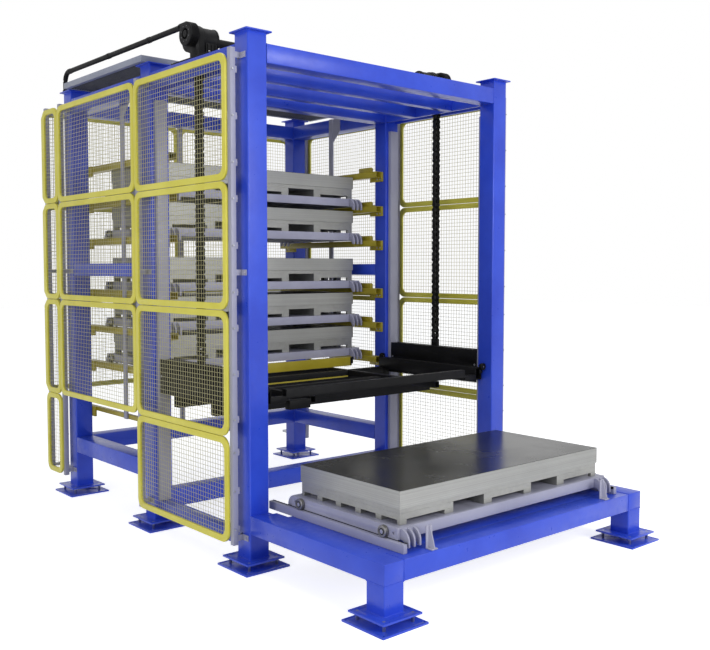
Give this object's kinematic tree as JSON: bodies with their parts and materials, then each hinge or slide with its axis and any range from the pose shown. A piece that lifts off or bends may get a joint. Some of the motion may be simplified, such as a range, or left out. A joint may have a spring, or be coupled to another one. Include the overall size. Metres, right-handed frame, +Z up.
{
  "type": "automated sheet storage system",
  "caption": "Free-standing storage tower for sheet metal with a chain-hoisted carriage, wheeled trays on shelves, side fences and a loading table.",
  "frame": {"origin": "middle of the footprint, on the floor", "axes": "+X to the right, +Y from the loading table to the shelf bay, +Z up"},
  "size_m": [4.37, 7.1, 5.868],
  "materials": {
    "blue_paint": "semi-gloss royal blue",
    "pale_yellow_paint": "satin pale yellow",
    "yellow_paint": "satin ochre yellow",
    "grey_paint": "satin light grey",
    "bright_steel": "turned and zinc plated",
    "chain_steel": "oiled, nearly black",
    "mesh_wire": "thin coated wire",
    "sheet_steel": "bare mill finish",
    "black_paint": "satin black"
  },
  "bodies": {
    "structure": {"columns": "blue_paint", "column_caps": "blue_paint", "base_plates": "blue_paint", "foot_plates": "blue_paint", "jack_screws": "bright_steel", "side_beams": "blue_paint", "cross_beams": "blue_paint", "front_lintel": "blue_paint", "guide_rails": "grey_paint", "shelf_brackets": "yellow_paint", "shelf_rails": "yellow_paint", "rail_blocks": "yellow_paint", "hanging_uprights": "grey_paint", "table_rails": "grey_paint", "table_stops": "grey_paint", "fence_posts": "grey_paint", "fence_clamps": "bright_steel", "fence_frames": "pale_yellow_paint", "fence_mesh": "mesh_wire", "roof_frame": "grey_paint", "roof_deck": "mesh_wire", "hoist_gearmotors": "black_paint", "drive_bases": "black_paint", "chain_cases": "black_paint", "cable_conduit": "black_paint", "hoist_chains": "chain_steel"},
    "carriage": {"carriage_side_beams": "black_paint", "carriage_rails": "black_paint", "carriage_cross_beams": "black_paint", "transfer_drive": "black_paint"},
    "transfer_beam": {"transfer_beam": "yellow_paint"},
    "hoist_shaft": {"hoist_shaft": "black_paint"},
    "left_side_rollers": {"left_side_rollers": "bright_steel"},
    "right_side_rollers": {"right_side_rollers": "bright_steel"},
    "front_rail_rollers": {"front_rail_rollers": "bright_steel"},
    "rear_rail_rollers": {"rear_rail_rollers": "bright_steel"},
    "tray_1": {"tray_1_frame": "grey_paint", "tray_1_load": "sheet_steel"},
    "tray_1_front_wheels": {"tray_1_front_wheels": "bright_steel"},
    "tray_1_rear_wheels": {"tray_1_rear_wheels": "bright_steel"},
    "tray_2": {"tray_2_frame": "grey_paint", "tray_2_load": "sheet_steel"},
    "tray_2_front_wheels": {"tray_2_front_wheels": "bright_steel"},
    "tray_2_rear_wheels": {"tray_2_rear_wheels": "bright_steel"},
    "tray_3": {"tray_3_frame": "grey_paint", "tray_3_load": "sheet_steel"},
    "tray_3_front_wheels": {"tray_3_front_wheels": "bright_steel"},
    "tray_3_rear_wheels": {"tray_3_rear_wheels": "bright_steel"},
    "tray_4": {"tray_4_frame": "grey_paint", "tray_4_load": "sheet_steel"},
    "tray_4_front_wheels": {"tray_4_front_wheels": "bright_steel"},
    "tray_4_rear_wheels": {"tray_4_rear_wheels": "bright_steel"},
    "tray_5": {"tray_5_frame": "grey_paint", "tray_5_load": "sheet_steel"},
    "tray_5_front_wheels": {"tray_5_front_wheels": "bright_steel"},
    "tray_5_rear_wheels": {"tray_5_rear_wheels": "bright_steel"},
    "table_tray": {"table_tray_frame": "grey_paint", "table_tray_load": "sheet_steel"},
    "table_tray_front_wheels": {"table_tray_front_wheels": "bright_steel"},
    "table_tray_rear_wheels": {"table_tray_rear_wheels": "bright_steel"}
  },
  "joints": [
    {"name": "lift", "type": "slide", "parent": "structure", "child": "carriage", "axis": [0, 0, -1], "range_m": [-2.7, 1.19], "deforming": ["hoist_chains"]},
    {"name": "transfer", "type": "slide", "parent": "carriage", "child": "transfer_beam", "axis": [0, -1, 0], "range_m": [0, 2.11]},
    {"name": "hoist_shaft_turn", "type": "hinge", "parent": "structure", "child": "hoist_shaft", "pos_m": [0, -0.1036, 5.708], "axis": [1, 0, 0], "range_deg": [-1390, 614]},
    {"name": "front_rail_rollers_turn", "type": "hinge", "parent": "carriage", "child": "front_rail_rollers", "pos_m": [0, -1.0077, 1.86], "axis": [1, 0, 0], "range_deg": [-1517, 3439]},
    {"name": "rear_rail_rollers_turn", "type": "hinge", "parent": "carriage", "child": "rear_rail_rollers", "pos_m": [0, 0.5777, 1.86], "axis": [1, 0, 0], "range_deg": [-3439, 1517]},
    {"name": "left_side_rollers_turn", "type": "hinge", "parent": "carriage", "child": "left_side_rollers", "pos_m": [-1.735, -1.23, 1.86], "axis": [0, 1, 0], "range_deg": [-3462, 1527]},
    {"name": "right_side_rollers_turn", "type": "hinge", "parent": "carriage", "child": "right_side_rollers", "pos_m": [1.735, -1.23, 1.86], "axis": [0, 1, 0], "range_deg": [-1527, 3462]},
    {"name": "tray_1_slide", "type": "slide", "parent": "structure", "child": "tray_1", "axis": [0, -1, 0], "range_m": [0, 2.125]},
    {"name": "tray_1_front_wheels_turn", "type": "hinge", "parent": "tray_1", "child": "tray_1_front_wheels", "pos_m": [0, 1.28, 4.1083], "axis": [1, 0, 0], "range_deg": [0, 2101]},
    {"name": "tray_1_rear_wheels_turn", "type": "hinge", "parent": "tray_1", "child": "tray_1_rear_wheels", "pos_m": [0, 2.54, 4.1083], "axis": [1, 0, 0], "range_deg": [0, 2101]},
    {"name": "tray_2_slide", "type": "slide", "parent": "structure", "child": "tray_2", "axis": [0, -1, 0], "range_m": [0, 2.125]},
    {"name": "tray_2_front_wheels_turn", "type": "hinge", "parent": "tray_2", "child": "tray_2_front_wheels", "pos_m": [0, 1.28, 3.6083], "axis": [1, 0, 0], "range_deg": [0, 2101]},
    {"name": "tray_2_rear_wheels_turn", "type": "hinge", "parent": "tray_2", "child": "tray_2_rear_wheels", "pos_m": [0, 2.54, 3.6083], "axis": [1, 0, 0], "range_deg": [0, 2101]},
    {"name": "tray_3_slide", "type": "slide", "parent": "structure", "child": "tray_3", "axis": [0, -1, 0], "range_m": [0, 2.125]},
    {"name": "tray_3_front_wheels_turn", "type": "hinge", "parent": "tray_3", "child": "tray_3_front_wheels", "pos_m": [0, 1.28, 2.9083], "axis": [1, 0, 0], "range_deg": [0, 2101]},
    {"name": "tray_3_rear_wheels_turn", "type": "hinge", "parent": "tray_3", "child": "tray_3_rear_wheels", "pos_m": [0, 2.54, 2.9083], "axis": [1, 0, 0], "range_deg": [0, 2101]},
    {"name": "tray_4_slide", "type": "slide", "parent": "structure", "child": "tray_4", "axis": [0, -1, 0], "range_m": [0, 2.125]},
    {"name": "tray_4_front_wheels_turn", "type": "hinge", "parent": "tray_4", "child": "tray_4_front_wheels", "pos_m": [0, 1.28, 2.4083], "axis": [1, 0, 0], "range_deg": [0, 2101]},
    {"name": "tray_4_rear_wheels_turn", "type": "hinge", "parent": "tray_4", "child": "tray_4_rear_wheels", "pos_m": [0, 2.54, 2.4083], "axis": [1, 0, 0], "range_deg": [0, 2101]},
    {"name": "tray_5_slide", "type": "slide", "parent": "structure", "child": "tray_5", "axis": [0, -1, 0], "range_m": [0, 2.125]},
    {"name": "tray_5_front_wheels_turn", "type": "hinge", "parent": "tray_5", "child": "tray_5_front_wheels", "pos_m": [0, 1.28, 1.9083], "axis": [1, 0, 0], "range_deg": [0, 2101]},
    {"name": "tray_5_rear_wheels_turn", "type": "hinge", "parent": "tray_5", "child": "tray_5_rear_wheels", "pos_m": [0, 2.54, 1.9083], "axis": [1, 0, 0], "range_deg": [0, 2101]},
    {"name": "table_tray_slide", "type": "slide", "parent": "structure", "child": "table_tray", "axis": [0, 1, 0], "range_m": [0, 2.145]},
    {"name": "table_tray_front_wheels_turn", "type": "hinge", "parent": "table_tray", "child": "table_tray_front_wheels", "pos_m": [0, -2.99, 0.7183], "axis": [1, 0, 0], "range_deg": [-2120, 0]},
    {"name": "table_tray_rear_wheels_turn", "type": "hinge", "parent": "table_tray", "child": "table_tray_rear_wheels", "pos_m": [0, -1.73, 0.7183], "axis": [1, 0, 0], "range_deg": [-2120, 0]}
  ],
  "couplings": [
    {"joint": "hoist_shaft_turn", "follows": "lift", "rad_per_m": 8.9769},
    {"joint": "front_rail_rollers_turn", "follows": "lift", "rad_per_m": -22.222},
    {"joint": "rear_rail_rollers_turn", "follows": "lift", "rad_per_m": 22.222},
    {"joint": "left_side_rollers_turn", "follows": "lift", "rad_per_m": 22.371},
    {"joint": "right_side_rollers_turn", "follows": "lift", "rad_per_m": -22.371},
    {"joint": "tray_1_front_wheels_turn", "follows": "tray_1_slide", "rad_per_m": 17.241},
    {"joint": "tray_1_rear_wheels_turn", "follows": "tray_1_slide", "rad_per_m": 17.241},
    {"joint": "tray_2_front_wheels_turn", "follows": "tray_2_slide", "rad_per_m": 17.241},
    {"joint": "tray_2_rear_wheels_turn", "follows": "tray_2_slide", "rad_per_m": 17.241},
    {"joint": "tray_3_front_wheels_turn", "follows": "tray_3_slide", "rad_per_m": 17.241},
    {"joint": "tray_3_rear_wheels_turn", "follows": "tray_3_slide", "rad_per_m": 17.241},
    {"joint": "tray_4_front_wheels_turn", "follows": "tray_4_slide", "rad_per_m": 17.241},
    {"joint": "tray_4_rear_wheels_turn", "follows": "tray_4_slide", "rad_per_m": 17.241},
    {"joint": "tray_5_front_wheels_turn", "follows": "tray_5_slide", "rad_per_m": 17.241},
    {"joint": "tray_5_rear_wheels_turn", "follows": "tray_5_slide", "rad_per_m": 17.241},
    {"joint": "table_tray_front_wheels_turn", "follows": "table_tray_slide", "rad_per_m": -17.241},
    {"joint": "table_tray_rear_wheels_turn", "follows": "table_tray_slide", "rad_per_m": -17.241}
  ]
}
